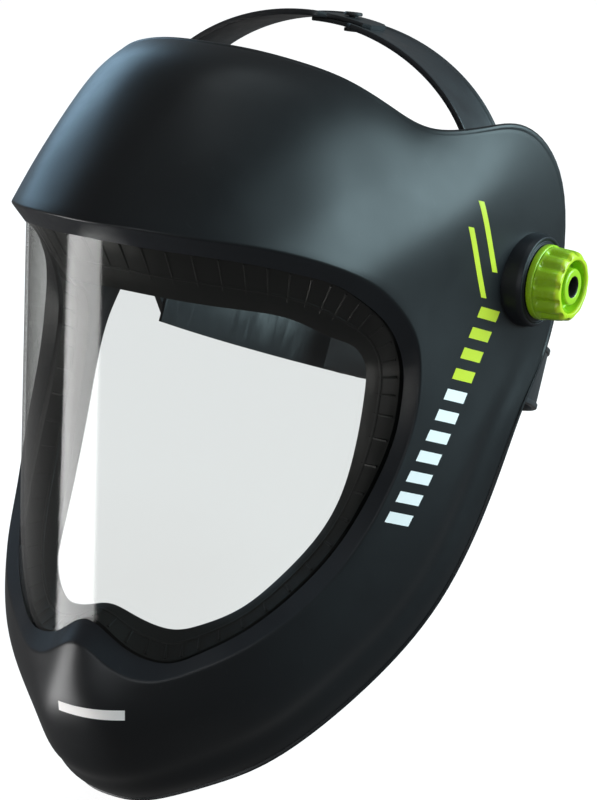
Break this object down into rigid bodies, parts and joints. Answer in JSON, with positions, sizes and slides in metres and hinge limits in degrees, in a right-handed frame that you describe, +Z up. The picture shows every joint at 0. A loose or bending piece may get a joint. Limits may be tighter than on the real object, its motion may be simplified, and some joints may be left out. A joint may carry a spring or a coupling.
{
  "type": "powered air respirator head-top",
  "caption": "Tilting helmet with a wrap-round clear visor and lime pivot knobs on a headband with crown strap and rear ratchet.",
  "frame": {"origin": "middle of the tilt axis, between the two pivot bolts", "axes": "+X to the wearer's left, -Y to the front, +Z up"},
  "size_m": [0.2732, 0.3517, 0.3276],
  "materials": {
    "shell_plastic": "satin near-black moulded shell with fine grain",
    "clear_lens": "clear polycarbonate sheet",
    "frame_plastic": "dark ribbed frame plastic",
    "strap_plastic": "dark grey flexible strap plastic",
    "knob_lime": "lime green moulded knob",
    "steel": "turned steel",
    "nylon": "pale nylon",
    "pad_fabric": "dark knitted pad cover",
    "dark_grip": "dark moulded grip plastic"
  },
  "bodies": {
    "helmet": {"helmet_shell": "shell_plastic", "visor_lens": "clear_lens", "lens_frame": "frame_plastic", "frame_clips": "frame_plastic"},
    "headgear": {"forehead_band": "strap_plastic", "sweatband": "pad_fabric", "side_arm_left": "strap_plastic", "side_arm_right": "strap_plastic", "tilt_stop_left": "frame_plastic", "tilt_stop_right": "frame_plastic", "friction_washer_left": "nylon", "friction_washer_right": "nylon", "pivot_bolt_left": "steel", "pivot_bolt_right": "steel", "crown_strap_left": "strap_plastic", "crown_strap_right": "strap_plastic", "crown_pin": "dark_grip", "arm_rivets": "steel", "nape_strap_left": "strap_plastic", "nape_strap_right": "strap_plastic"},
    "ratchet_unit": {"ratchet_cover": "strap_plastic", "ratchet_housing": "strap_plastic", "nape_pad": "pad_fabric"},
    "ratchet_dial": {"ratchet_knob": "dark_grip", "ratchet_pinion": "nylon", "ratchet_screw": "steel"},
    "knob_left": {"pivot_knob_left": "knob_lime"},
    "knob_right": {"pivot_knob_right": "knob_lime"}
  },
  "joints": [
    {"name": "helmet_tilt", "type": "hinge", "parent": "headgear", "child": "helmet", "pos_m": [0, 0, 0], "axis": [-1, 0, 0], "range_deg": [0, 75]},
    {"name": "knob_left_turn", "type": "hinge", "parent": "headgear", "child": "knob_left", "pos_m": [0.125, 0, 0], "axis": [1, 0, 0], "range_deg": [0, 270]},
    {"name": "knob_right_turn", "type": "hinge", "parent": "headgear", "child": "knob_right", "pos_m": [-0.125, 0, 0], "axis": [-1, 0, 0], "range_deg": [0, 270]},
    {"name": "ratchet_slide", "type": "slide", "parent": "headgear", "child": "ratchet_unit", "axis": [0, -0.8988, 0.4384], "range_m": [-0.01, 0.02], "deforming": ["nape_strap_left", "nape_strap_right"]},
    {"name": "ratchet_turn", "type": "hinge", "parent": "ratchet_unit", "child": "ratchet_dial", "pos_m": [0, 0.13196, -0.10367], "axis": [0, 0.8988, -0.4384], "range_deg": [-114, 228]}
  ],
  "couplings": [
    {"joint": "ratchet_slide", "follows": "ratchet_turn", "m_per_rad": 0.005}
  ]
}
